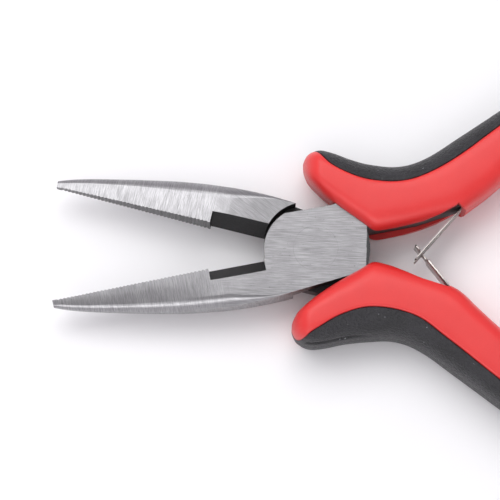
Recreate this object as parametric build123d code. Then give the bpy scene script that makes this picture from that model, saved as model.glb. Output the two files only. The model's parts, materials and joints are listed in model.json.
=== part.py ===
from build123d import *
from math import cos, radians, sin
import os

# Long-nose pliers with a side cutter, lap joint, two-tone grips and interlocking leaf springs.
# Millimetres. X runs along the tool, jaws towards -X and handles towards +X. Z is the pivot axis.
# z = 0 is the flat underside of the joint, and the two levers meet at half its thickness.
# Every shape is drawn with the jaws closed, as lever A: its jaw lies at y < 0 and its handle at
# y > 0. Lever B is lever A turned half a turn about X. The parts are written with the jaws open.

# ---- driving dimensions -------------------------------------------------------------------------
OPEN_ANGLE = 24.7          # angle between the gripping faces in the stored, open pose
THICK = 9.0                # thickness of the joint
MID = THICK / 2            # height of the lap face
LAP_GAP = 0.1              # play between the two half plates
BOSS_R = 9.45              # reach of the half plate towards the jaws
REAR_R = 10.0              # rear radius of the half plate, towards the handles
NOSE_R = 7.7               # the front of the half plate is rounded off inside its reach
NOSE_AT = (-1.74, 0.15)
SHOULDER_GAP = 0.3         # play between the half plate's reach and the other lever's shoulders
PLATE_TOP = 7.5            # flat on the handle side of the half plate

RIVET_SHANK_R = 2.9
RIVET_HEAD_R = 4.1
RIVET_HEAD_DEPTH = 1.6
RIVET_PLAY = 0.04          # radial running clearance in lever B

TIP_X = -49.2              # blunt tip of the jaws
FACE_GAP = 0.03            # half the gap left between the closed gripping faces
TAPER_X = -17.0            # the jaws thin from about here to the tip
TAPER_EASE = 4.0           # the taper starts gently over this length on each side of there
TIP_HALF_THICK = 1.25
CUTTER_X = (-20.0, -9.65)  # ends of the cutting edge, on the half plate's side
CUTTER_RUNOUT_X = -9.0     # on the other side the bevel runs out into the other lever's room
CUTTER_BEVEL = 2.35        # width of each cutter bevel, seen from above
TEETH_X = (-48.4, -20.4)   # ends of the row of teeth across the gripping face
TOOTH_PITCH = 0.7
TOOTH_DEPTH = 0.16

TANG_END_X = 75.0
TANG_INNER_Y = 1.75        # inner face of the tang beside the joint
TANG_BEND_X = 19.5         # from here the inner face slopes up to the seat of the leaf
TANG_STEP_X = 32.0         # the tang is thinner behind this point
TANG_THIN = 5.0

GRIP_OVER = 2.8            # the grips stand proud of the joint by this much on each side
GRIP_ROUND = 0.9
LIP_GAP = 0.2              # play between a grip's lips and the joint
POCKET_R = 10.6            # the joint turns in this pocket of each grip
WING_POCKET_R = 8.9        # and in this one where the grip's wing stands beside it
WING_Y = 7.7

LEAF_T = 0.35
LEAF_HALF_W = 3.0
LEAF_LENGTH = 12.6
LEAF_ANGLE = 37.5          # direction of the relaxed leaf, drawn with the jaws closed
LEAF_ROOT = (27.6, 2.36)   # where the free arm of the leaf leaves its clamped tab
TAB_LENGTH = 6.0
KNUCKLE_GAP = 0.05
FIN_FACE = 0.35            # front face of the grip under the clamped tab, behind the leaf's root
SLOT_START = 6.5
SLOT_HALF_W = 1.4
NECK_START = 9.35
NECK_END = 11.25
NECK_HALF_W = 1.1
TEE_HALF_W = 2.5
STUD_AT = 3.4              # spring rivet, measured along the tab
STUD_SHANK_R = 0.7
STUD_HEAD_R = 1.2
STUD_HEAD_T = 0.45
STUD_DEPTH = 2.2

# Along a jaw, from the tip to the joint: half-width, radius of the outer edges, and the slope, in
# degrees, that the slightly crowned top has reached where that rounding begins.
JAW_FRONT = [(TIP_X, 1.25, 0.6, 8.0), (-41.0, 3.65, 1.3, 9.0), (-33.0, 5.4, 1.9, 9.0),
             (-25.0, 6.85, 2.4, 6.0), (-21.0, 7.3, 2.4, 3.0), (TAPER_X, 7.6, 2.3, 0.6)]
JAW_REAR = [(TAPER_X, 7.6, 2.3, 0.6), (-13.0, 7.62, 1.3, 0.3), (-8.5, 7.45, 0.4, 0.3),
            (-4.0, 7.05, 0.15, 0.3)]

# Outlines seen from above, jaws closed.
TANG_OUTER = [(4.4, 7.2), (6.6, 7.9), (9.5, 8.3), (13.5, 7.9), (18.5, 7.5), (23.0, 8.2),
              (28.5, 10.4), (34.5, 13.4), (42.0, 16.6), (52.0, 19.6), (63.0, 20.7),
              (TANG_END_X, 20.6)]
TANG_INNER = [(33.0, 6.5), (38.0, 9.2), (46.0, 13.2), (55.0, 16.4), (64.0, 17.3),
              (TANG_END_X, 17.3)]
GRIP_OUTLINE = [(10.7, 0.75), (7.25, 4.2), (3.2, 8.8), (0.7, 12.5), (0.0, 15.2), (1.1, 17.4),
                (3.6, 18.05), (6.5, 17.0), (9.5, 15.3), (14.5, 13.2), (19.0, 12.35),
                (23.0, 13.0), (28.0, 14.9), (34.0, 17.4), (40.0, 19.9), (47.0, 22.5),
                (55.0, 24.6), (63.0, 25.5), (71.0, 25.4), (78.0, 24.3), (82.2, 21.7),
                (82.5, 18.3), (79.4, 16.0), (72.0, 15.6), (64.0, 15.3), (56.0, 14.1),
                (48.0, 11.8), (41.0, 8.5), (35.3, 5.2), (31.0, 2.6), (27.6, 0.9),
                (22.0, 0.75), (16.0, 0.45), (12.6, 0.35)]
INSERT_EDGE = [(1.0, 20.0), (1.9, 17.4), (3.6, 15.0), (6.2, 12.2), (9.6, 9.9), (13.5, 8.7),
               (18.5, 8.2), (22.5, 8.8), (28.5, 11.2), (34.5, 14.2), (41.0, 17.3),
               (48.0, 19.8), (56.0, 21.7), (64.0, 22.4), (72.0, 22.1), (79.0, 20.9),
               (84.0, 19.0)]


def slab(face, low, high):
    """A flat outline made solid from z = low to z = high."""
    return extrude(Pos(0, 0, low) * face, amount=high - low)


def jaw_section(x, width, edge_r, slope, half_thick):
    """Cross-section of a jaw: crowned top and bottom, rounded along both outer edges."""
    inner = -FACE_GAP
    round_y = edge_r - width
    crown_r = (inner - round_y + edge_r * sin(radians(slope))) / sin(radians(slope))
    drop = crown_r * (1 - cos(radians(slope)))
    round_z = half_thick - drop - edge_r * cos(radians(slope))

    def crown(angle):
        turn = radians(angle)
        return (inner - crown_r * sin(turn), half_thick - crown_r * (1 - cos(turn)))

    def rounding(angle):
        turn = radians(angle)
        return (round_y - edge_r * sin(turn), round_z + edge_r * cos(turn))

    half = [(inner, half_thick), crown(slope / 2), crown(slope), rounding((slope + 90) / 2),
            rounding(90)]
    top = [(x, y, MID + z) for y, z in half]
    low = [(x, y, MID - z) for y, z in half]
    outline = [
        ThreePointArc(top[0], top[1], top[2]),
        ThreePointArc(top[2], top[3], top[4]),
        Line(top[4], low[4]),
        ThreePointArc(low[4], low[3], low[2]),
        ThreePointArc(low[2], low[1], low[0]),
        Line(low[0], top[0]),
    ]
    return make_face(outline)


def half_thickness(x):
    """Half the thickness of the jaw at x."""
    slope = (MID - TIP_HALF_THICK) / (TAPER_X - TIP_X)
    start, end = TAPER_X - TAPER_EASE, TAPER_X + TAPER_EASE
    if x <= start:
        return TIP_HALF_THICK + slope * (x - TIP_X)
    left = max(0.0, end - x)
    return MID - slope * left ** 2 / (4 * TAPER_EASE)


def jaw():
    """The long tapered jaw, with its cutter bevels, up to the joint."""
    sections = [[jaw_section(x, width, edge_r, slope, half_thickness(x))
                 for x, width, edge_r, slope in part] for part in (JAW_FRONT, JAW_REAR)]
    body = loft(sections[0]) + loft(sections[1])
    runout = mirror(cutter_bevel(CUTTER_RUNOUT_X), about=Plane.XY.offset(MID))
    return body - cutter_bevel(CUTTER_X[1]) - runout - tooth_grooves()


def cutter_bevel(end):
    """The wedge ground away above the cutting edge, as far as the end."""
    high = 2 * MID
    wedge = Plane.YZ * Polygon((0, MID), (-2 * CUTTER_BEVEL, MID + high), (2, MID + high),
                               (2, MID), align=None)
    start = CUTTER_X[0]
    return extrude(Pos(start, 0, 0) * wedge, amount=end - start, dir=(1, 0, 0))


def tooth_grooves():
    """Sawtooth grooves across the gripping face."""
    start, end = TEETH_X
    count = int((end - start) / TOOTH_PITCH)
    outline = [(start, 1.0)]
    for i in range(count):
        x = start + i * TOOTH_PITCH
        outline += [(x, -FACE_GAP), (x + 0.62 * TOOTH_PITCH, -FACE_GAP - TOOTH_DEPTH)]
    last = start + count * TOOTH_PITCH
    outline += [(last, -FACE_GAP), (last, 1.0)]
    return slab(Polygon(*outline, align=None), -1, THICK + 1)


def disc(grow):
    """Swept outline of a half plate: one radius in front of the pivot and one behind it."""
    size = 4 * REAR_R
    front = Circle(BOSS_R + grow) & Rectangle(size, size, align=(Align.MAX, Align.CENTER))
    rear = Circle(REAR_R + grow) & Rectangle(size, size, align=(Align.MIN, Align.CENTER))
    return front + rear


def half_plate():
    """The half-thickness plate that carries the pivot."""
    flats = Polygon((-14, PLATE_TOP), (-14, -7.4), (-4.25, -7.0), (4.3, -6.15), (14, -5.15),
                    (14, PLATE_TOP - 0.3), align=None)
    nose = Pos(*NOSE_AT) * Circle(NOSE_R)
    behind = Pos(NOSE_AT[0], 0) * Rectangle(40, 40, align=(Align.MIN, Align.CENTER))
    return slab(disc(0) & flats & (nose + behind), MID + LAP_GAP / 2, THICK)


def tang():
    """The arm inside the grip: full thickness beside the joint and thinner behind it."""
    seat_near = leaf_point(0.6, LEAF_T / 2)
    seat_far = leaf_point(TAB_LENGTH + 0.3, LEAF_T / 2)
    outline = [
        Spline(*TANG_OUTER),
        Line(TANG_OUTER[-1], TANG_INNER[-1]),
        Spline(*TANG_INNER),
        Polyline(TANG_INNER[0], seat_far, seat_near, (TANG_BEND_X, TANG_INNER_Y),
                 (5.0, TANG_INNER_Y), (0.0, 4.0), TANG_OUTER[0]),
    ]
    face = make_face(outline)
    near = face & Pos(TANG_STEP_X, 0) * Rectangle(100, 100, align=(Align.MAX, Align.CENTER))
    return slab(near, 0, THICK) + slab(face, MID - TANG_THIN / 2, MID + TANG_THIN / 2)


def leaf_point(along, aside):
    """Point beside the leaf: its distance from the root towards the tab, and to the tang side."""
    turn = radians(LEAF_ANGLE)
    x = LEAF_ROOT[0] + along * cos(turn) - aside * sin(turn)
    y = LEAF_ROOT[1] + along * sin(turn) + aside * cos(turn)
    return (x, y)


def rivet_shape(play):
    """Shank and two countersunk heads, grown by the play for the hole that turns on it."""
    shank = Cylinder(RIVET_SHANK_R + play, THICK, align=(Align.CENTER, Align.CENTER, Align.MIN))
    head = Pos(0, 0, THICK - RIVET_HEAD_DEPTH) * Cone(
        RIVET_SHANK_R + play, RIVET_HEAD_R + play, RIVET_HEAD_DEPTH,
        align=(Align.CENTER, Align.CENTER, Align.MIN))
    return shank + head + mirror(head, about=Plane.XY.offset(MID))


def plate_room():
    """Outline that the other lever's half plate, with its rounded nose, sweeps as it turns."""
    nose = Pos(NOSE_AT[0], -NOSE_AT[1]) * Circle(NOSE_R + SHOULDER_GAP)
    behind = Pos(NOSE_AT[0], 0) * Rectangle(40, 40, align=(Align.MIN, Align.CENTER))
    above = Pos(0, -0.9) * Rectangle(40, 40, align=(Align.CENTER, Align.MIN))
    return disc(SHOULDER_GAP) & (nose + behind + above)


def lever(hole_play):
    """One forging: jaw, half plate and tang, with room below for the other lever's plate."""
    room = slab(plate_room(), -1, MID + LAP_GAP / 2)
    solid = jaw() + half_plate() + tang() - room
    return solid - rivet_shape(hole_play) - stud_shank()


def leaf_place():
    """Frame of the leaf: its X axis runs from the free arm towards the tab."""
    return Pos(LEAF_ROOT[0], LEAF_ROOT[1], MID) * Rot(0, 0, LEAF_ANGLE)


def strip(face):
    """A flat blank, drawn in length and width, given the thickness of the leaf."""
    return leaf_place() * extrude(Plane.XZ * face, amount=LEAF_T / 2, both=True)


def leaf_knuckle():
    """The rounded root of the free arm."""
    return leaf_place() * Cylinder(LEAF_T / 2, 2 * LEAF_HALF_W)


def fork_arm():
    """Free arm of the forked leaf: two prongs with an open slot between them."""
    blank = Rectangle(LEAF_LENGTH, 2 * LEAF_HALF_W, align=(Align.MAX, Align.CENTER))
    slot_length = LEAF_LENGTH - SLOT_START
    slot = Pos(-SLOT_START, 0) * Rectangle(slot_length + 1, 2 * SLOT_HALF_W,
                                           align=(Align.MAX, Align.CENTER))
    slot_root = Pos(-SLOT_START, 0) * Circle(SLOT_HALF_W)
    return strip(blank - slot - slot_root) + leaf_knuckle()


def tee_arm():
    """Free arm of the other leaf: a neck and a cross-bar that hooks behind the prongs."""
    half = [(0, LEAF_HALF_W), (-NECK_START + 0.5, LEAF_HALF_W), (-NECK_START, NECK_HALF_W),
            (-NECK_END, NECK_HALF_W), (-NECK_END, TEE_HALF_W), (-LEAF_LENGTH, TEE_HALF_W)]
    other_half = [(x, -z) for x, z in reversed(half)]
    return strip(Polygon(*half, *other_half, align=None)) + leaf_knuckle()


def leaf_tab():
    """The riveted end of a leaf."""
    start = LEAF_T / 2 + KNUCKLE_GAP
    blank = Pos(start, 0) * Rectangle(TAB_LENGTH - start, 2 * LEAF_HALF_W,
                                      align=(Align.MIN, Align.CENTER))
    hole = Pos(STUD_AT, 0) * Circle(STUD_SHANK_R)
    return strip(blank - hole)


def stud_shank():
    """Shank of the spring rivet, from the outer face of the leaf into the tang."""
    shank = Cylinder(STUD_SHANK_R, STUD_DEPTH + LEAF_T,
                     align=(Align.CENTER, Align.CENTER, Align.MIN))
    return leaf_place() * Pos(STUD_AT, -LEAF_T / 2, 0) * Rot(-90, 0, 0) * shank


def spring_rivet():
    """Small flat-headed rivet that holds the leaf against the tang."""
    head = Cylinder(STUD_HEAD_R, STUD_HEAD_T, align=(Align.CENTER, Align.CENTER, Align.MAX))
    return stud_shank() + leaf_place() * Pos(STUD_AT, -LEAF_T / 2, 0) * Rot(-90, 0, 0) * head


def grip_body():
    """Outer form of a grip, hard shell and soft insert together."""
    face = make_face(Spline(*GRIP_OUTLINE, periodic=True))
    body = slab(face, -GRIP_OVER, THICK + GRIP_OVER)
    return fillet(body.faces().sort_by(Axis.Z)[-1].edges()
                  + body.faces().sort_by(Axis.Z)[0].edges(), GRIP_ROUND)


def insert_zone():
    """Everything outside the line where the hard shell meets the soft insert."""
    edge = Spline(*INSERT_EDGE)
    close = Polyline(INSERT_EDGE[-1], (95, 19), (95, 40), (-10, 40), (-10, 20), INSERT_EDGE[0])
    return slab(make_face([edge, close]), -GRIP_OVER - 1, THICK + GRIP_OVER + 1)


def leaf_channel():
    """Slot between the lips of a grip, where the leaf folds away, open at the joint."""
    side = Polygon((9.0, TANG_INNER_Y), (9.0, -4.0), leaf_point(FIN_FACE, -6),
                   leaf_point(FIN_FACE, LEAF_T / 2), leaf_point(0.6, LEAF_T / 2),
                   (TANG_BEND_X, TANG_INNER_Y), align=None)
    return slab(side, -LIP_GAP, THICK + LIP_GAP)


def lip_notch():
    """Step in the lips that uncovers the leaf just in front of the rivet."""
    notch = Polygon((19.0, 0.0), (23.3, 1.5), (26.6, 2.1), leaf_point(FIN_FACE, 0),
                    leaf_point(FIN_FACE, -6), (19.0, -1.5), align=None)
    return slab(notch, -GRIP_OVER - 1, THICK + GRIP_OVER + 1)


def grip_shell(filling):
    """Hard shell, hollow where the joint turns, where the leaf folds and around its filling."""
    below_wing = Pos(0, WING_Y) * Rectangle(40, 40, align=(Align.CENTER, Align.MAX))
    round_joint = (Circle(POCKET_R) & below_wing) + Circle(WING_POCKET_R)
    pocket = slab(round_joint, -LIP_GAP, THICK + LIP_GAP)
    shell = grip_body() - insert_zone() - pocket - leaf_channel() - lip_notch()
    for piece in filling:
        shell = shell - piece
    return shell


def grip_insert():
    """Soft insert along the back of the grip."""
    return grip_body() & insert_zone()


def placed(shape, side):
    """A shape drawn closed as lever A, moved to its place in the open pose."""
    if side == "a":
        return Rot(0, 0, OPEN_ANGLE / 2) * shape
    return Rot(0, 0, -OPEN_ANGLE / 2) * Pos(0, 0, THICK) * Rot(180, 0, 0) * shape


def save(name, shape):
    """One STEP file for one node."""
    solids = shape.solids()
    whole = solids[0] if len(solids) == 1 else Compound(children=solids)
    whole.label = name
    export_step(whole, f"parts/{name}.step")


os.makedirs("parts", exist_ok=True)
save("pivot_rivet", rivet_shape(0))
for side, arm, play in (("a", fork_arm(), 0.0), ("b", tee_arm(), RIVET_PLAY)):
    forging = lever(play)
    tab = leaf_tab()
    stud = spring_rivet()
    save(f"lever_{side}", placed(forging, side))
    save(f"grip_shell_{side}", placed(grip_shell([tang(), tab, stud]), side))
    save(f"grip_insert_{side}", placed(grip_insert(), side))
    save(f"leaf_tab_{side}", placed(tab, side))
    save(f"leaf_arm_{side}", placed(arm, side))
    save(f"spring_rivet_{side}", placed(stud, side))
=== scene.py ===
import json
import math
import bmesh
import bpy
import numpy as np
from mathutils import Matrix, Vector


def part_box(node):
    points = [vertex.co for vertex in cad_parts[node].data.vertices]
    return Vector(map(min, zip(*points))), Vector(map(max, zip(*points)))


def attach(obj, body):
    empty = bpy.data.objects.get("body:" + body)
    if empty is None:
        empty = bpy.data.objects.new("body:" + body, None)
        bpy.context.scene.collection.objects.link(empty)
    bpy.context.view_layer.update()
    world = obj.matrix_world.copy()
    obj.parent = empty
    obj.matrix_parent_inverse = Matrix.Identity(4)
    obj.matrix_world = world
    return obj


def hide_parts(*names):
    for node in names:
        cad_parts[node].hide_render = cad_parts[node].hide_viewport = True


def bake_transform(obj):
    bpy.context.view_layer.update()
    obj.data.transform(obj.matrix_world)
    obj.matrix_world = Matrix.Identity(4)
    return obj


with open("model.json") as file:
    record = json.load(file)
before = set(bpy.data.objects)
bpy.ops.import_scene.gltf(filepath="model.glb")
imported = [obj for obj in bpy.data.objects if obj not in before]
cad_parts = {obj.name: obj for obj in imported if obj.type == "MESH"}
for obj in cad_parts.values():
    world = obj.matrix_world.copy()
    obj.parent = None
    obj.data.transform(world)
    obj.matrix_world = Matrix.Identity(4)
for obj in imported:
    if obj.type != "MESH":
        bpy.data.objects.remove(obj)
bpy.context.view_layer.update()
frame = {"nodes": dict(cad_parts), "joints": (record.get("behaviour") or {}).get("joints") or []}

# Long-nose pliers. Shapes are drawn in millimetres with the jaws closed, as lever A, and then
# moved to the open rest pose. Lever B's pieces are the same ones turned half a turn about X.
MM = 0.001
PIVOT = next(j for j in frame["joints"] if j["name"] == "pivot")
HALF_OPEN = math.radians(PIVOT["range_deg"][1]) / 2
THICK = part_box("pivot_rivet")[1].z / MM
MID = THICK / 2

# ---- grip, shell and insert ---------------------------------------------------------------------
GRIP_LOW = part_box("grip_shell_a")[0].z / MM
GRIP_HALF = MID - GRIP_LOW
STATIONS = 150             # rings along the grip
WING_ROUND = 3.8           # the grip thins over this run at the wing
BUTT_ROUND = 4.2           # and over this one at the handle's end
END_POWER = 2.3            # how square that rounding is
END_THICK = 0.04           # share of the thickness left at the ends

LIP_GAP = 0.2              # play between the grip and the joint
POCKET_R = 10.6            # room for the joint
WING_POCKET_R = 8.9        # and beside the wing
WING_Y = 7.7
TURN_STEPS = 120           # points round a pocket
TANG_INNER_Y = 1.75
TANG_BEND_X = 19.5
CHANNEL_X = 9.0            # the channel under the tang starts here
CHANNEL_PLAY = 0.06
CHANNEL_DEPTH = 6.0
OPEN_Y = -4.0              # cutters end outside the grip, on its finger side
NOTCH_Y = -3.0
CUT_PAST = 1.0             # and run on this far past what they cut

FRONT_POWER = 4.0          # roundness of the section on the finger side of the front
PALM_POWER = 2.7           # and on the palm side, front
PALM_BACK_POWER = 5.0      # and back
RUN_STEPS = 36             # points over a shoulder of the section
RUN_START = 0.8            # they start this far from the seam
WALL_STEPS = 6             # points down the wall between shell and insert
EDGE_LIMIT = 0.995         # the seam's roll stays inside the section
LEAST_WIDTH = 0.5
LEAST_HEIGHT = 0.02
SEAM_GAP = 0.03            # half the gap between shell and insert
SEAM_LIMIT = 0.99
SEAM_DIP = 0.22            # both edges roll down into the seam
SEAM_ROLL = [(0.0, 1.0), (0.1, 0.45), (0.24, 0.1), (0.45, 0.0)]   # distance, share of the dip
PARTING_DIP = 0.25         # depth of the groove along the parting line
PARTING_BAND = 0.3         # half the flat band that the groove runs in
PARTING_SHARE = 0.45       # share of the band that the groove takes
CREASE_AT = 0.94           # moulded crease near the outer edge of the lower insert
CREASE_WIDTH = 0.022
CREASE_DEPTH = 0.5
CREASE_FADE = (9.0, 14.0)

# Across the grip, from the wing to the handle's end: inner point, outer point, how far across the
# soft insert starts on the back, and how square the back is on the finger side.
RIBS = [
    ((0.03, 15.0), (0.25, 16.3), 0.99, 2.6), ((0.25, 13.7), (1.1, 17.4), 0.97, 2.6),
    ((0.75, 12.4), (2.3, 17.95), 0.85, 2.6), ((1.8, 10.75), (3.9, 18.0), 0.66, 2.6),
    ((3.2, 8.8), (5.4, 17.5), 0.56, 2.6), ((5.2, 6.4), (7.1, 16.65), 0.54, 3.0),
    ((7.25, 4.2), (8.9, 15.6), 0.545, 4.0), ((9.3, 2.0), (10.6, 14.75), 0.555, 6.0),
    ((10.8, 0.42), (12.3, 14.0), 0.56, 8.0), ((12.8, 0.1), (14.3, 13.3), 0.565, 9.0),
    ((16.0, 0.15), (16.7, 12.6), 0.57, 9.0), ((19.5, 0.35), (19.4, 12.36), 0.58, 9.0),
    ((23.0, 0.6), (22.0, 12.7), 0.6, 8.0), ((27.0, 0.85), (25.0, 13.6), 0.64, 4.5),
    ((30.0, 2.15), (28.0, 14.85), 0.67, 3.5), ((33.2, 3.95), (31.2, 16.2), 0.685, 3.5),
    ((37.5, 6.5), (35.5, 18.0), 0.69, 3.5), ((43.5, 9.8), (41.5, 20.5), 0.695, 3.5),
    ((51.0, 12.8), (49.3, 23.2), 0.7, 3.5), ((60.0, 14.85), (59.0, 25.1), 0.7, 3.5),
    ((69.0, 15.5), (68.6, 25.45), 0.7, 3.5), ((76.0, 15.75), (76.3, 24.65), 0.72, 3.5),
    ((80.0, 16.3), (80.0, 23.35), 0.75, 3.5), ((81.9, 17.5), (81.9, 22.0), 0.8, 3.5),
    ((82.4, 19.2), (82.4, 20.3), 0.9, 3.5),
]
# The two mouldings do not sit quite alike on their levers: how far each is off, along the grip.
OFFSET_END = 13.0          # the outer side is off only as far as here, less and less
OFFSETS = {"a": [(0.0, 0.6, 0.05), (7.0, 0.5, 0.2), (11.0, 0.2, 0.55), (20.0, 0.0, 0.5),
                 (28.0, 0.0, 0.45), (34.0, 0.0, 0.0)],
           "b": [(0.0, -0.95, -0.75), (7.0, -0.5, -0.75), (11.0, -0.1, -0.65), (20.0, 0.0, -0.4),
                 (25.0, 0.0, -0.35), (28.5, 0.0, 0.3), (34.0, 0.0, 0.4), (42.0, 0.0, 0.0)]}
# Line on the front where the soft insert begins.
SEAMS = {"a": [(3.6, 17.6), (4.9, 15.3), (7.5, 12.8), (11.1, 10.65), (15.6, 9.15), (20.0, 8.95),
               (24.0, 9.75), (29.7, 11.9), (35.5, 14.8), (42.0, 17.8), (49.7, 20.7), (59.2, 22.7),
               (68.7, 23.2), (76.2, 22.7), (80.5, 21.8), (83.0, 20.2)],
         "b": [(-0.2, 17.4), (1.4, 17.0), (3.0, 15.4), (5.5, 12.7), (8.9, 9.9), (12.5, 8.2),
               (17.6, 7.6), (21.6, 8.1), (27.5, 10.7), (33.6, 13.5), (38.6, 15.9), (42.3, 17.4),
               (49.8, 20.1), (59.3, 21.9), (68.7, 22.4), (76.2, 22.0), (80.5, 21.3), (83.0, 20.0)]}
# Edge of the lips over the folding leaf, and the step behind it that uncovers the leaf's root.
LIPS = {"a": [(11.5, -0.2), (14.0, 0.5), (17.0, 0.75), (20.5, 1.2), (23.6, 1.85), (26.8, 2.85),
              (27.2, 3.1)],
        "b": [(11.5, -0.6), (16.4, 0.25), (20.3, 0.95), (25.0, 1.2), (26.6, 0.2)]}

# ---- leaf springs -------------------------------------------------------------------------------
LEAF_T = 0.35
LEAF_HALF_W = 3.0
LEAF_LENGTH = 12.6
LEAF_ANGLE = math.radians(37.5)
LEAF_ROOT = (27.6, 2.36)
LEAF_CORNER = 0.6
LEAF_EDGE = 0.07           # rounding of its edges
TAB_LENGTH = 6.0
BEND_CUTS = np.arange(-3.0, 1.4, 0.2)   # it is cut into steps here, where the leaf bends
FIN_FACE = 0.35            # front face of the grip under the clamped tab
FIN_EDGE = 0.6
SLOT_START = 6.5
SLOT_HALF_W = 1.4
NECK_START = 9.35
NECK_END = 11.25
NECK_HALF_W = 1.1
NECK_SLOPE = 0.5
TEE_HALF_W = 2.5
TEE_CORNER = 0.15
TEE_TIP = 0.3


# ---- mesh helpers -------------------------------------------------------------------------------
def place(side):
    """Matrix from the closed drawing, in millimetres, to the rest pose, in metres."""
    if side == "a":
        return Matrix.Rotation(HALF_OPEN, 4, "Z") @ Matrix.Scale(MM, 4)
    flip = Matrix.Translation((0, 0, THICK)) @ Matrix.Rotation(math.pi, 4, "X")
    return Matrix.Rotation(-HALF_OPEN, 4, "Z") @ Matrix.Scale(MM, 4) @ flip


def new_piece(name, vertices, faces, side=None):
    """A mesh object from lists of points and faces, moved to its side's rest pose."""
    mesh = bpy.data.meshes.new(name)
    mesh.from_pydata([tuple(v) for v in vertices], [], faces)
    mesh.validate()
    mesh.update()
    if side:
        mesh.transform(place(side))
    piece = bpy.data.objects.new(name, mesh)
    bpy.context.scene.collection.objects.link(piece)
    return piece


def face_out(piece):
    """All faces outward."""
    mesh = bmesh.new()
    mesh.from_mesh(piece.data)
    bmesh.ops.recalc_face_normals(mesh, faces=mesh.faces)
    mesh.to_mesh(piece.data)
    mesh.free()


def cubic(values, count):
    """Natural cubic through evenly numbered values, sampled at count places."""
    y = np.array(values, float).reshape(len(values), -1)
    n = len(y)
    a = np.zeros((n, n))
    b = np.zeros_like(y)
    a[0, 0] = a[-1, -1] = 1
    for i in range(1, n - 1):
        a[i, i - 1:i + 2] = (1, 4, 1)
        b[i] = 6 * (y[i - 1] - 2 * y[i] + y[i + 1])
    m = np.linalg.solve(a, b)
    u = np.linspace(0, n - 1, count)
    k = np.minimum(u.astype(int), n - 2)
    t = (u - k)[:, None]
    s = 1 - t
    bend = (m[k] * s ** 3 + m[k + 1] * t ** 3) / 6
    return bend + (y[k] - m[k] / 6) * s + (y[k + 1] - m[k + 1] / 6) * t


def prism(name, outline, low, high, side):
    """A straight prism over a flat outline, used to cut."""
    n = len(outline)
    points = [(x, y, low) for x, y in outline] + [(x, y, high) for x, y in outline]
    faces = [tuple(reversed(range(n))), tuple(range(n, 2 * n))]
    faces += [(i, (i + 1) % n, n + (i + 1) % n, n + i) for i in range(n)]
    piece = new_piece(name, points, faces, side)
    face_out(piece)
    return piece


def set_shape(piece):
    """Applies the piece's modifiers for good."""
    graph = bpy.context.evaluated_depsgraph_get()
    shape = bpy.data.meshes.new_from_object(piece.evaluated_get(graph))
    piece.modifiers.clear()
    piece.data = shape


def carve(piece, cutters):
    """Cuts the cutters out of the piece."""
    for cutter in cutters:
        cut = piece.modifiers.new("cut", "BOOLEAN")
        cut.operation = "DIFFERENCE"
        cut.solver = "EXACT"
        cut.object = cutter
    set_shape(piece)
    for cutter in cutters:
        bpy.data.objects.remove(cutter)


def soften(piece, angle):
    """Smooth shading with creases where faces meet more sharply than the angle, in degrees."""
    piece.data.shade_smooth()
    piece.data.set_sharp_from_angle(angle=math.radians(angle))


# ---- grips --------------------------------------------------------------------------------------
def section_z(t, powers):
    """Height of the rounded section at t, which runs from -1, finger side, to 1, palm side."""
    power = powers[0] if t < 0 else powers[1]
    return max(0.0, 1 - min(1.0, abs(t)) ** power) ** (1 / power)


def side_run(seam, edge, half_width, half_thick, powers, crease=0.0):
    """Points (across, up) from the seam over the shoulder to the parting line on one side."""
    def past_seam(away):
        t = seam + edge * away / max(half_width, LEAST_WIDTH)
        return max(-EDGE_LIMIT, min(EDGE_LIMIT, t))

    run = []
    for away, share in SEAM_ROLL:
        t = past_seam(away)
        height = section_z(t, powers) * half_thick - SEAM_DIP * share
        run.append((t * half_width, max(LEAST_HEIGHT, height)))
    own_power, other_power = powers if edge < 0 else powers[::-1]
    start = past_seam(RUN_START)
    turn, start_power = (1, own_power) if start * edge > 0 else (-1, other_power)
    start_angle = math.acos(turn * abs(start) ** (start_power / 2))
    for i in range(RUN_STEPS):
        c = math.cos(start_angle * (1 - i / RUN_STEPS))
        power = own_power if c > 0 else other_power
        t = edge * math.copysign(abs(c) ** (2 / power), c)
        dent = crease * math.exp(-((t - CREASE_AT) / CREASE_WIDTH) ** 2)
        run.append((t * half_width - dent, section_z(t, powers) * half_thick - dent))
    band = min(PARTING_BAND, PARTING_BAND * half_thick)
    return run + [(edge * half_width, band), (edge * half_width, band * PARTING_SHARE)]


def grip_ring(inner, outer, seams, powers, half_thick, edge, crease):
    """Closed ring of points (x, y, height over the parting line) for one part at one rib.

    The seams and the powers are those of the front and of the back.
    """
    middle = (inner + outer) / 2
    half = (outer - inner) / 2
    half_width = float(np.linalg.norm(half))
    across = half / half_width
    gap = SEAM_GAP * edge / half_width
    front_seam, back_seam = (2 * seam - 1 + gap for seam in seams)
    front = side_run(front_seam, edge, half_width, half_thick, powers[0], crease)
    back = side_run(back_seam, edge, half_width, half_thick, powers[1])
    ring = front + [(edge * (half_width - PARTING_DIP), 0.0)]
    ring += [(w, -z) for w, z in reversed(back)]
    (w_0, z_0), (w_1, z_1) = ring[-1], ring[0]
    ring += [(w_0 + (w_1 - w_0) * i / WALL_STEPS, z_0 + (z_1 - z_0) * i / WALL_STEPS)
             for i in range(1, WALL_STEPS)]
    return [(*(middle + across * w), z) for w, z in ring]


def offset_at(side, x):
    """How far the grip of that side is off at x."""
    stops, along, across = zip(*OFFSETS[side])
    return np.array([np.interp(x, stops, along), np.interp(x, stops, across)])


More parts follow.
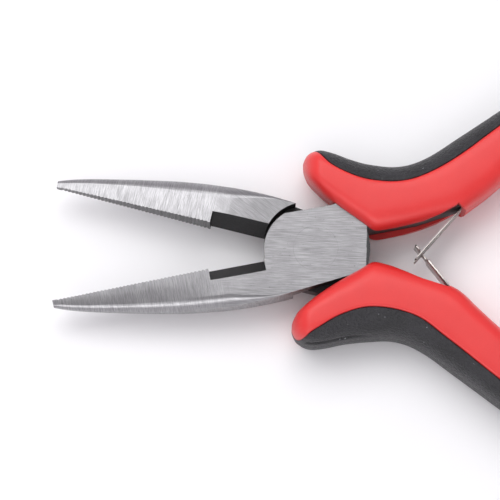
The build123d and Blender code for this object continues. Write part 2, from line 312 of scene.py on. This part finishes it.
def seam_share(inner, outer, seam):
    """How far across from inner to outer the seam line passes."""
    across = outer - inner
    for start, end in zip(seam, seam[1:]):
        step = np.subtract(end, start)
        spread = across[0] * step[1] - across[1] * step[0]
        if spread:
            gap = np.array(start) - inner
            share = (gap[0] * step[1] - gap[1] * step[0]) / spread
            on_seam = (gap[0] * across[1] - gap[1] * across[0]) / spread
            if 0 <= on_seam <= 1 and 0 <= share <= 1:
                return min(SEAM_LIMIT, share)
    return SEAM_LIMIT


def grip_ribs(side):
    """At every station: inner point, outer point, seam on the front and back, power of the back."""
    inner = [np.array(r[0]) + offset_at(side, r[0][0]) for r in RIBS]
    outer = [np.array(r[1]) + offset_at(side, 0.0) * max(0.0, 1 - r[1][0] / OFFSET_END) for r in RIBS]
    front = [seam_share(i, o, SEAMS[side]) for i, o in zip(inner, outer)]
    back = [r[2] for r in RIBS]
    back_power = [r[3] for r in RIBS]
    return [cubic(values, STATIONS) for values in (inner, outer, front, back, back_power)]


def grip_part(name, part, side):
    """Shell or insert of a grip as one closed mesh, lofted along the ribs."""
    inner, outer, front, back, back_power = grip_ribs(side)
    steps = np.diff((inner + outer) / 2, axis=0)
    run = np.concatenate([[0], np.cumsum(np.linalg.norm(steps, axis=1))])
    edge = -1 if part == "shell" else 1
    up = 1 if side == "a" else -1
    points, faces = [], []
    for i in range(STATIONS):
        reach = min(run[i] / WING_ROUND, (run[-1] - run[i]) / BUTT_ROUND, 1.0)
        rounded = (1 - (1 - reach) ** END_POWER) ** (1 / END_POWER)
        half_thick = GRIP_HALF * max(END_THICK, rounded)
        seams = [min(SEAM_LIMIT, float(seam[i][0])) for seam in (front, back)]
        powers = [(FRONT_POWER, PALM_POWER), (float(back_power[i][0]), PALM_BACK_POWER)]
        crease = 0.0
        if part == "insert" and side == "b":
            crease = CREASE_DEPTH * float(np.interp(outer[i][0], CREASE_FADE, (1.0, 0.0))) * reach
        ring = grip_ring(inner[i], outer[i], seams, powers, half_thick, edge, crease)
        size = len(ring)
        points += [(x, y, MID + up * z) for x, y, z in ring]
        if i:
            a, b = (i - 1) * size, i * size
            faces += [(a + k, a + (k + 1) % size, b + (k + 1) % size, b + k) for k in range(size)]
    faces.append(tuple(reversed(range(size))))
    faces.append(tuple(range((STATIONS - 1) * size, STATIONS * size)))
    piece = new_piece(name, points, faces, side)
    face_out(piece)
    return piece


def leaf_point(along, aside):
    """Point beside the leaf: distance from its root towards the tab, and towards the tang."""
    x = LEAF_ROOT[0] + along * math.cos(LEAF_ANGLE) - aside * math.sin(LEAF_ANGLE)
    y = LEAF_ROOT[1] + along * math.sin(LEAF_ANGLE) + aside * math.cos(LEAF_ANGLE)
    return (x, y)


def grip_cutters(side):
    """What the joint and the folding leaf need cut out of a shell."""
    turns = np.linspace(0, 2 * math.pi, TURN_STEPS, endpoint=False)
    joint = [(POCKET_R * math.cos(a), min(WING_Y, POCKET_R * math.sin(a))) for a in turns]
    wing = [(WING_POCKET_R * math.cos(a), WING_POCKET_R * math.sin(a)) for a in turns]
    tang_y = TANG_INNER_Y + CHANNEL_PLAY
    channel = [(CHANNEL_X, tang_y), (CHANNEL_X, OPEN_Y), leaf_point(FIN_FACE, -CHANNEL_DEPTH),
               leaf_point(FIN_FACE, LEAF_T / 2), leaf_point(FIN_EDGE, LEAF_T / 2 + CHANNEL_PLAY),
               (TANG_BEND_X, tang_y)]
    lips = LIPS[side]
    behind = leaf_point(FIN_FACE, -CHANNEL_DEPTH) if side == "a" else (lips[-1][0] + CUT_PAST, NOTCH_Y)
    notch = lips + [behind, (lips[0][0], NOTCH_Y)]
    low, high = -LIP_GAP, THICK + LIP_GAP
    return [prism("cut_pocket", joint, low, high, side),
            prism("cut_wing", wing, low, high, side),
            prism("cut_channel", channel, low, high, side),
            prism("cut_notch", notch, GRIP_LOW - CUT_PAST, THICK - GRIP_LOW + CUT_PAST, side)]


# ---- shapes of the leaves -----------------------------------------------------------------------
def leaf_piece(name, outline, side):
    """Flat outline (along, up) made into a strip of the leaf's thickness, cut into short steps."""
    mesh = bmesh.new()
    loop = [mesh.verts.new((along, 0, up)) for along, up in outline]
    mesh.faces.new(loop)
    for cut in BEND_CUTS:
        bmesh.ops.bisect_plane(mesh, geom=mesh.verts[:] + mesh.edges[:] + mesh.faces[:],
                               plane_co=(cut, 0, 0), plane_no=(1, 0, 0))
    bmesh.ops.solidify(mesh, geom=mesh.faces[:], thickness=LEAF_T)
    bmesh.ops.recalc_face_normals(mesh, faces=mesh.faces)
    data = bpy.data.meshes.new(name)
    mesh.to_mesh(data)
    mesh.free()
    ys = np.array([v.co.y for v in data.vertices])
    data.transform(Matrix.Translation((0, -(ys.min() + ys.max()) / 2, 0)))
    turn = Matrix.Translation((*LEAF_ROOT, MID)) @ Matrix.Rotation(LEAF_ANGLE, 4, "Z")
    data.transform(place(side) @ turn)
    piece = bpy.data.objects.new(name, data)
    bpy.context.scene.collection.objects.link(piece)
    bevel = piece.modifiers.new("edge", "BEVEL")
    bevel.width = LEAF_EDGE * MM
    bevel.segments = 2
    bevel.limit_method = "ANGLE"
    set_shape(piece)
    return piece


def arc_points(centre, radius, start, end, count):
    """Points on an arc, angles in degrees."""
    turns = [math.radians(a) for a in np.linspace(start, end, count)]
    return [(centre[0] + radius * math.cos(a), centre[1] + radius * math.sin(a)) for a in turns]


def fork_outline():
    """Tab, arm and two prongs."""
    w, end = LEAF_HALF_W, -LEAF_LENGTH
    corner = arc_points((end + LEAF_CORNER, w - LEAF_CORNER), LEAF_CORNER, 90, 180, 5)
    upper = [(TAB_LENGTH, w)] + corner + [(end, SLOT_HALF_W)]
    slot = arc_points((-SLOT_START, 0), SLOT_HALF_W, 90, -90, 13)
    lower = [(x, -z) for x, z in reversed(upper)]
    return upper + slot + lower


def tee_outline():
    """Tab, arm, neck and cross-bar."""
    half = [(TAB_LENGTH, LEAF_HALF_W), (-NECK_START + NECK_SLOPE, LEAF_HALF_W)]
    half += [(-NECK_START, NECK_HALF_W), (-NECK_END, NECK_HALF_W)]
    half += [(-NECK_END, TEE_HALF_W - TEE_CORNER), (-NECK_END - TEE_CORNER, TEE_HALF_W)]
    half += [(-LEAF_LENGTH + TEE_TIP, TEE_HALF_W), (-LEAF_LENGTH, TEE_HALF_W - TEE_TIP)]
    return half + [(x, -z) for x, z in reversed(half)]


# ---- materials ----------------------------------------------------------------------------------
class Net:
    """Short names for adding shader nodes to one material."""

    def __init__(self, name):
        self.material = bpy.data.materials.new(name)
        self.material.use_nodes = True
        self.tree = self.material.node_tree
        self.shader = self.tree.nodes["Principled BSDF"]

    def link(self, value, socket):
        if isinstance(value, bpy.types.NodeSocket):
            self.tree.links.new(value, socket)
        else:
            socket.default_value = value

    def node(self, kind, **settings):
        made = self.tree.nodes.new(kind)
        for key, value in settings.items():
            setattr(made, key, value)
        return made

    def math(self, operation, *values):
        made = self.node("ShaderNodeMath", operation=operation)
        for value, socket in zip(values, made.inputs):
            self.link(value, socket)
        return made.outputs[0]

    def times(self, first, second):
        return self.math("MULTIPLY", first, second)

    def less(self, value, share=1.0):
        """1 less that share of the value."""
        return self.math("SUBTRACT", 1.0, self.times(value, share))

    def largest(self, first, *others):
        for other in others:
            first = self.math("MAXIMUM", first, other)
        return first

    def between(self, factor, a, b):
        """a where the factor is 0 and b where it is 1."""
        return self.math("MULTIPLY_ADD", self.math("SUBTRACT", b, a), factor, a)

    def ramp(self, value, low, high, out_low=0.0, out_high=1.0):
        """Smooth step from out_low to out_high as value goes from low to high."""
        made = self.node("ShaderNodeMapRange", interpolation_type="SMOOTHSTEP")
        for item, socket in zip((value, low, high, out_low, out_high), made.inputs):
            self.link(item, socket)
        return made.outputs[0]

    def near(self, value, centre, width):
        """1 where value is within width of the centre, falling to 0 over the same width."""
        away = self.math("ABSOLUTE", self.math("SUBTRACT", value, centre))
        return self.ramp(away, width, 2 * width, 1.0, 0.0)

    def split(self, vector):
        made = self.node("ShaderNodeSeparateXYZ")
        self.link(vector, made.inputs[0])
        return made.outputs

    def mapped(self, vector, scale=(1, 1, 1), turn=0.0, shift=(0, 0, 0)):
        made = self.node("ShaderNodeMapping")
        self.link(vector, made.inputs["Vector"])
        made.inputs["Location"].default_value = shift
        made.inputs["Rotation"].default_value = (0, 0, turn)
        made.inputs["Scale"].default_value = scale
        return made.outputs[0]

    def place_in_mm(self):
        coords = self.node("ShaderNodeTexCoord")
        return self.mapped(coords.outputs["Object"], scale=(1 / MM,) * 3)

    def noise(self, vector, scale, detail=3.0, rough=0.6):
        made = self.node("ShaderNodeTexNoise")
        self.link(vector, made.inputs["Vector"])
        made.inputs["Scale"].default_value = scale
        made.inputs["Detail"].default_value = detail
        made.inputs["Roughness"].default_value = rough
        return made.outputs["Fac"]

    def mix(self, factor, a, b, blend="MIX"):
        made = self.node("ShaderNodeMix", data_type="RGBA", blend_type=blend)
        for value, socket in ((factor, made.inputs[0]), (a, made.inputs[6]), (b, made.inputs[7])):
            self.link(value, socket)
        return made.outputs[2]

    def grey(self, value):
        made = self.node("ShaderNodeCombineColor")
        for socket in made.inputs:
            self.link(value, socket)
        return made.outputs[0]

    def bump(self, height, strength, distance):
        made = self.node("ShaderNodeBump")
        self.link(height, made.inputs["Height"])
        made.inputs["Strength"].default_value = strength
        made.inputs["Distance"].default_value = distance
        self.tree.links.new(made.outputs[0], self.shader.inputs["Normal"])

    def set(self, **values):
        for key, value in values.items():
            self.link(value, self.shader.inputs[key.replace("_", " ")])


# Grinding lines: how many to the millimetre, and how long in millimetres.
JAW_LINES = [(math.radians(89), 6.5, 2.8), (math.radians(92), 11.0, 1.5)]   # direction first
JOINT_LINES = [(8.0, 3.6), (13.0, 3.0)]
JOINT_LINES_X = (-17.5, -11.0)       # the jaw's lines give way to the joint's here
# Lever b's tone, below 1, is painted shade: it darkens that lever's ground joint, standing in for the
# duller reflection there.
JOINT_GROUND = {"a": (-HALF_OPEN, 1.0), "b": (math.radians(24), 0.84)}   # lines' direction, tone
LINES_SPREAD = (0.30, 0.70)          # what the noise of the lines runs between
RIVET_RING_R = 4.1
TEETH_END_X = -20.0
REAR_EDGE_X = (9.40, 9.50)           # the blackened rear edge of the joint, in the rest pose
STEEL_TINT = (0.995, 0.985, 1.015, 1)
STEEL_TONE = (0.20, 0.40)
STEEL_ROUGH = (0.40, 0.30)
OXIDE_TONE = (0.020, 0.034)
OXIDE_ROUGH = 0.5

RED = ((0.65, 0.020, 0.020, 1), (0.71, 0.028, 0.026, 1))
BLACK = ((0.002, 0.002, 0.003, 1), (0.020, 0.019, 0.024, 1))
DUST = (0.34, 0.35, 0.37, 1)
SPRING = ((0.26, 0.24, 0.23, 1), (0.52, 0.49, 0.46, 1))
TABLE = ((0.86, 0.86, 0.87, 1), (0.88, 0.88, 0.89, 1))


def closed_frame(net, side):
    """Place and normal in the closed drawing of that lever, in millimetres."""
    turn = -HALF_OPEN if side == "a" else HALF_OPEN
    place_at = net.mapped(net.place_in_mm(), turn=turn)
    coords = net.node("ShaderNodeTexCoord")
    normal = net.mapped(coords.outputs["Normal"], turn=turn)
    if side == "b":
        place_at = net.mapped(place_at, scale=(1, -1, -1), shift=(0, 0, THICK))
        normal = net.mapped(normal, scale=(1, -1, -1))
    return place_at, normal


def strokes(net, place_at, turn, fine, reach):
    """Grinding lines: noise stretched along one direction."""
    turned = net.mapped(place_at, turn=-turn)
    stretched = net.mapped(turned, scale=(1 / reach, fine, 0.3))
    return net.noise(stretched, 1.0, detail=4.0, rough=0.65)


def grinding(net, place_at, joint_turn):
    """Coarse lines, fine lines, and how far each place belongs to the joint rather than the jaw."""
    x, y = net.split(place_at)[:2]
    slanted = net.math("MULTIPLY_ADD", y, -0.25, x)
    edge = net.math("MULTIPLY_ADD", net.noise(place_at, 0.6), 6.0, slanted)
    at_joint = net.ramp(edge, *JOINT_LINES_X)
    jaw = [strokes(net, place_at, turn, fine, reach) for turn, fine, reach in JAW_LINES]
    joint = [strokes(net, place_at, joint_turn, fine, reach) for fine, reach in JOINT_LINES]
    coarse, fine = [net.between(at_joint, a, b) for a, b in zip(jaw, joint)]
    return coarse, fine, at_joint


def rivet_ring(net, x, y, cloud):
    """Faint ring where the flush rivet head was ground off."""
    squares = net.math("ADD", net.times(x, x), net.times(y, y))
    radius = net.math("SQRT", squares)
    return net.times(net.near(radius, RIVET_RING_R, 0.04), net.ramp(cloud, 0.42, 0.6, 0.1, 0.6))


def dark_places(net, place_at, normal):
    """How black each place is, and how much painted shade darkens the bare metal there."""
    x, y, z = net.split(place_at)
    nx, ny, nz = net.split(normal)
    level = net.math("ABSOLUTE", nz)
    inner = net.ramp(ny, 0.35, 0.6)
    behind_teeth = net.ramp(x, TEETH_END_X - 0.2, TEETH_END_X)
    cutters = net.times(inner, behind_teeth)
    lap = net.times(net.near(z, MID, 0.4), net.ramp(level, 0.75, 0.93))
    back_walls = net.times(net.ramp(nx, 0.4, 0.6), net.ramp(x, -15.0, -12.0))
    bevel_end = net.times(net.ramp(nx, 0.7, 0.8), net.near(x, TEETH_END_X, 0.1))
    along, aside = net.times(x, math.cos(HALF_OPEN)), net.times(y, math.sin(HALF_OPEN))
    rest_x = net.math("SUBTRACT", along, aside)
    rear = net.math("MULTIPLY_ADD", net.noise(place_at, 0.8, 2.0), 0.25, rest_x)
    black = net.largest(cutters, lap, back_walls, bevel_end, net.ramp(rear, *REAR_EDGE_X))
    # Painted shade on the teeth, and on the joint's low side wall, standing in for its dark reflection
    # of the grip.
    teeth = net.times(inner, net.less(behind_teeth))
    low_wall = net.times(net.ramp(level, 0.7, 0.5), net.ramp(x, -10.0, -2.0))
    return black, net.largest(net.times(teeth, 0.8), net.times(low_wall, 0.45))


def steel(side):
    """Ground steel with grinding lines on the flats and black oxide in the recesses."""
    net = Net(f"ground_steel_{side}")
    joint_turn, joint_shade_tone = JOINT_GROUND[side]
    place_at, normal = closed_frame(net, side)
    x, y = net.split(place_at)[:2]
    coarse, fine, at_joint = grinding(net, place_at, joint_turn)
    both = net.math("MULTIPLY_ADD", fine, 0.5, net.times(coarse, 0.5))
    cloud = net.noise(place_at, 0.22, 2.0)
    pits = net.noise(place_at, 2.6, 1.0)
    black, shade = dark_places(net, place_at, normal)

    tone = net.ramp(both, *LINES_SPREAD, *STEEL_TONE)
    # Painted shade: lever b's joint is darkened by its tone, the teeth and low wall by shade.
    for factor in (net.ramp(cloud, 0.3, 0.7, 0.94, 1.06),
                   net.ramp(at_joint, 0.0, 1.0, 1.0, joint_shade_tone),
                   net.ramp(pits, 0.71, 0.76, 1.0, 0.78),
                   net.less(rivet_ring(net, x, y, cloud), 0.25),
                   net.less(shade)):
        tone = net.times(tone, factor)
    oxide = net.ramp(net.noise(place_at, 3.0, 4.0), 0.3, 0.75, *OXIDE_TONE)
    tone = net.between(black, tone, oxide)
    rough = net.between(black, net.ramp(both, *LINES_SPREAD, *STEEL_ROUGH), OXIDE_ROUGH)
    net.set(Base_Color=net.mix(1.0, net.grey(tone), STEEL_TINT, "MULTIPLY"), Roughness=rough,
            Metallic=net.less(black, 0.9))
    lift = net.math("MULTIPLY_ADD", coarse, 0.6, fine)
    height = net.math("MULTIPLY_ADD", net.noise(place_at, 6.0), 0.25, lift)
    net.bump(height, 0.3, 0.00004)
    return net.material


def moulded(name, colours, roughness, grain, strength):
    """Moulded plastic: slight mottling, fine grain and worn, shinier high spots."""
    net = Net(name)
    place_at = net.place_in_mm()
    mottle = net.ramp(net.noise(place_at, 0.16), 0.3, 0.7)
    speckle = net.ramp(net.noise(place_at, grain, 2.0, 0.7), 0.35, 0.7)
    blend = net.math("MULTIPLY_ADD", speckle, 0.55, net.times(mottle, 0.45))
    net.set(Base_Color=net.mix(blend, *colours))
    net.set(Roughness=net.ramp(speckle, 0.0, 1.0, roughness - 0.05, roughness + 0.07))
    height = net.math("MULTIPLY_ADD", net.noise(place_at, grain * 0.4), 0.6, speckle)
    net.bump(height, strength, 0.00012)
    return net


def red_plastic():
    return moulded("red_shell_plastic", RED, 0.38, 9.0, 0.12).material


def black_rubber():
    """Soft insert: dark, finely pitted, with a few pale specks of dust."""
    net = moulded("black_soft_plastic", BLACK, 0.5, 1.8, 1.0)
    dust = net.ramp(net.noise(net.place_in_mm(), 1.7, 1.0), 0.755, 0.785)
    plain = net.shader.inputs["Base Color"].links[0].from_socket
    net.set(Base_Color=net.mix(net.times(dust, 0.7), plain, DUST))
    return net.material


def spring_steel():
    """Bright rolled strip."""
    net = Net("spring_strip")
    roll = net.noise(net.mapped(net.place_in_mm(), scale=(0.5, 0.5, 9.0)), 1.0)
    net.set(Base_Color=net.mix(roll, *SPRING), Metallic=1.0)
    net.set(Roughness=net.ramp(roll, 0.3, 0.7, 0.22, 0.34))
    net.bump(roll, 0.15, 0.00002)
    return net.material


def table_white():
    net = Net("white_table")
    coords = net.node("ShaderNodeTexCoord")
    tone = net.noise(coords.outputs["Object"], 9.0, 2.0)
    net.set(Base_Color=net.mix(tone, *TABLE), Roughness=0.6)
    return net.material


def dress(piece, material, angle=None):
    """Gives the piece its material, and smooth shading up to the angle."""
    piece.data.materials.clear()
    piece.data.materials.append(material)
    if angle:
        soften(piece, angle)


# ---- build --------------------------------------------------------------------------------------
SHELL_CREASE = 38          # faces that meet more sharply than this, in degrees, keep their edge
INSERT_CREASE = 50
LEAF_CREASE = 40
LEVER_CREASE = 12


def build_grip(side, body, red, black):
    shell = grip_part(f"red_shell_{side}", "shell", side)
    carve(shell, grip_cutters(side))
    dress(shell, red, SHELL_CREASE)
    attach(shell, body)
    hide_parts(f"grip_shell_{side}")

    insert = grip_part(f"black_insert_{side}", "insert", side)
    dress(insert, black, INSERT_CREASE)
    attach(insert, body)
    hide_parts(f"grip_insert_{side}")


def build_leaf(side, metal):
    leaf = leaf_piece(f"leaf_spring_{side}", fork_outline() if side == "a" else tee_outline(), side)
    dress(leaf, metal, LEAF_CREASE)
    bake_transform(leaf)
    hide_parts(f"leaf_tab_{side}", f"leaf_arm_{side}")


def build_pliers():
    red, black, spring = red_plastic(), black_rubber(), spring_steel()
    metals = {"a": steel("a"), "b": steel("b")}
    for side in ("a", "b"):
        body = f"lever_{side}_body"
        build_grip(side, body, red, black)
        build_leaf(side, spring)
        dress(frame["nodes"][f"lever_{side}"], metals[side], LEVER_CREASE)
        dress(frame["nodes"][f"spring_rivet_{side}"], spring)
    dress(frame["nodes"]["pivot_rivet"], metals["a"])


# ---- table, light and camera --------------------------------------------------------------------
TABLE_HALF = 1.6
TABLE_CELLS = 24

# Softboxes aimed at the pivot: name, place, size, power, and what kind of surface each lights.
SOFTBOXES = [
    ("back_softbox", (-0.15, 0.36, 0.80), (0.9, 0.5), 4.4, "both"),
    ("overhead", (-0.1, -0.05, 0.95), (1.2, 0.9), 3.8, "diffuse"),
    ("front_softbox", (-0.15, -0.66, 0.62), (0.9, 0.35), 3.2, "glossy"),
]
SKY_LEVEL = 0.72           # brightness near the horizon
SKY_TOP = 0.26             # and overhead
SKY_TOP_AT = 0.9           # reached at this height on a unit sphere
SKY_TINT = (1.0, 0.96, 1.015, 1)
SKY_STRENGTH = 1.45

CAMERA_TILT = math.radians(81.5)
CAMERA_ROLL = math.radians(1.6)
CAMERA_AWAY = 0.6
CAMERA_NEAR = 0.01
CAMERA_AIM = Vector((-0.0120, -0.0007, THICK * MM))
FRAME_WIDTH = 0.0915       # seen at the aim
SENSOR = 36.0


def table(level):
    """A wide pale table."""
    steps = np.linspace(-TABLE_HALF, TABLE_HALF, TABLE_CELLS + 1)
    points = [(x, y, level) for y in steps for x in steps]
    row = TABLE_CELLS + 1
    faces = [(j * row + i, j * row + i + 1, (j + 1) * row + i + 1, (j + 1) * row + i)
             for j in range(TABLE_CELLS) for i in range(TABLE_CELLS)]
    top = new_piece("table", points, faces)
    dress(top, table_white())


def softbox(name, place_at, size, power, lights):
    """A rectangular lamp that lights diffuse surfaces, shows in glossy ones, or both."""
    light = bpy.data.lights.new(name, "AREA")
    light.shape = "RECTANGLE"
    light.size, light.size_y = size
    light.energy = power
    holder = bpy.data.objects.new(name, light)
    holder.location = place_at
    holder.rotation_euler = (-Vector(place_at)).to_track_quat("-Z", "Y").to_euler()
    holder.visible_diffuse = lights != "glossy"
    holder.visible_glossy = lights != "diffuse"
    bpy.context.scene.collection.objects.link(holder)


def sky():
    """Soft studio surround, brighter near the horizon than overhead."""
    world = bpy.data.worlds.new("studio")
    bpy.context.scene.world = world
    world.use_nodes = True
    tree = world.node_tree
    back = tree.nodes["Background"]
    coords = tree.nodes.new("ShaderNodeTexCoord")
    split = tree.nodes.new("ShaderNodeSeparateXYZ")
    ramp = tree.nodes.new("ShaderNodeMapRange")
    tree.links.new(coords.outputs["Generated"], split.inputs[0])
    tree.links.new(split.outputs[2], ramp.inputs[0])
    for socket, value in zip(list(ramp.inputs)[1:5], (0.0, SKY_TOP_AT, SKY_LEVEL, SKY_TOP)):
        socket.default_value = value
    colour = tree.nodes.new("ShaderNodeCombineColor")
    for socket in colour.inputs:
        tree.links.new(ramp.outputs[0], socket)
    tint = tree.nodes.new("ShaderNodeMix")
    tint.data_type = "RGBA"
    tint.blend_type = "MULTIPLY"
    tint.inputs[0].default_value = 1.0
    tint.inputs[7].default_value = SKY_TINT
    tree.links.new(colour.outputs[0], tint.inputs[6])
    tree.links.new(tint.outputs[2], back.inputs[0])
    back.inputs[1].default_value = SKY_STRENGTH


def camera():
    """Looks down at the tool, a little from the side of the lower handle, and slightly rolled."""
    right_way = Vector((math.cos(CAMERA_ROLL), math.sin(CAMERA_ROLL), 0))
    up_way = Vector((-math.sin(CAMERA_ROLL), math.cos(CAMERA_ROLL), 0))
    out_way = -up_way * math.cos(CAMERA_TILT) + Vector((0, 0, math.sin(CAMERA_TILT)))
    turn = Matrix((right_way, out_way.cross(right_way), out_way)).transposed()
    data = bpy.data.cameras.new("camera")
    data.sensor_width = SENSOR
    data.lens = SENSOR * CAMERA_AWAY / FRAME_WIDTH
    data.clip_start = CAMERA_NEAR
    holder = bpy.data.objects.new("camera", data)
    holder.matrix_world = Matrix.Translation(CAMERA_AIM + out_way * CAMERA_AWAY) @ turn.to_4x4()
    bpy.context.scene.collection.objects.link(holder)
    bpy.context.scene.camera = holder
    bpy.context.scene.view_settings.view_transform = "Standard"


build_pliers()
table(GRIP_LOW * MM)
sky()
for box in SOFTBOXES:
    softbox(*box)
camera()
